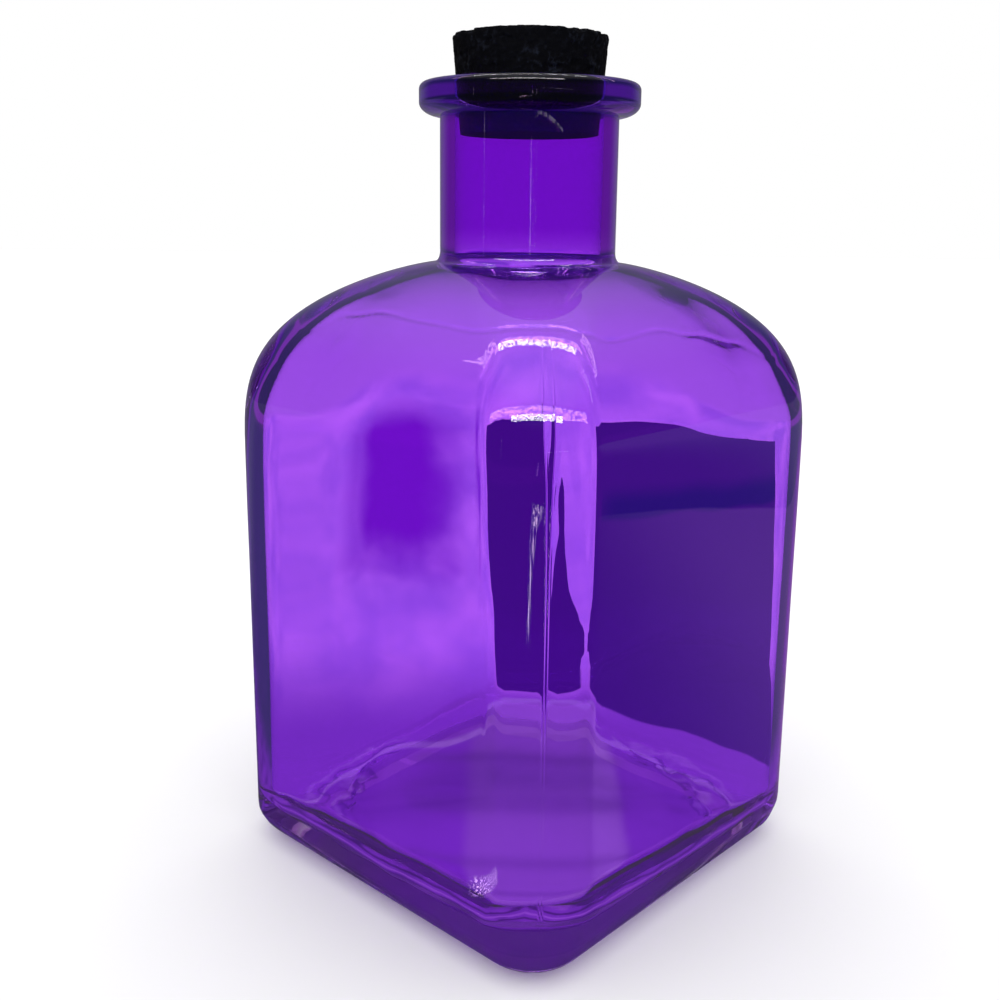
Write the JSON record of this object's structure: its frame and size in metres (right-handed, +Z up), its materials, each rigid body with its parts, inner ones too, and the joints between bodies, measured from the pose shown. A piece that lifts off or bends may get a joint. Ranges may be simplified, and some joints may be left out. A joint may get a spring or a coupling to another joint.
{
  "type": "stoppered glass bottle",
  "caption": "Square glass potion bottle with rounded corners, a domed shoulder, a round neck with a flat lip, and a tapered cork stopper that lifts out.",
  "frame": {"origin": "middle of the foot, on the surface the bottle stands on", "axes": "+Z up the neck; the flat sides face +X, -X, +Y and -Y, and the corner between +X and -Y is the one nearest the picture's camera"},
  "size_m": [0.0912, 0.0912, 0.1718],
  "materials": {
    "purple_glass": "clear, polished",
    "black_cork": "dyed black, matt grain"
  },
  "bodies": {
    "bottle": {"glass_bottle": "purple_glass"},
    "stopper": {"cork_stopper": "black_cork"}
  },
  "joints": [
    {"name": "stopper_lift", "type": "slide", "parent": "bottle", "child": "stopper", "axis": [0, 0, 1], "range_m": [0, 0.06]}
  ]
}
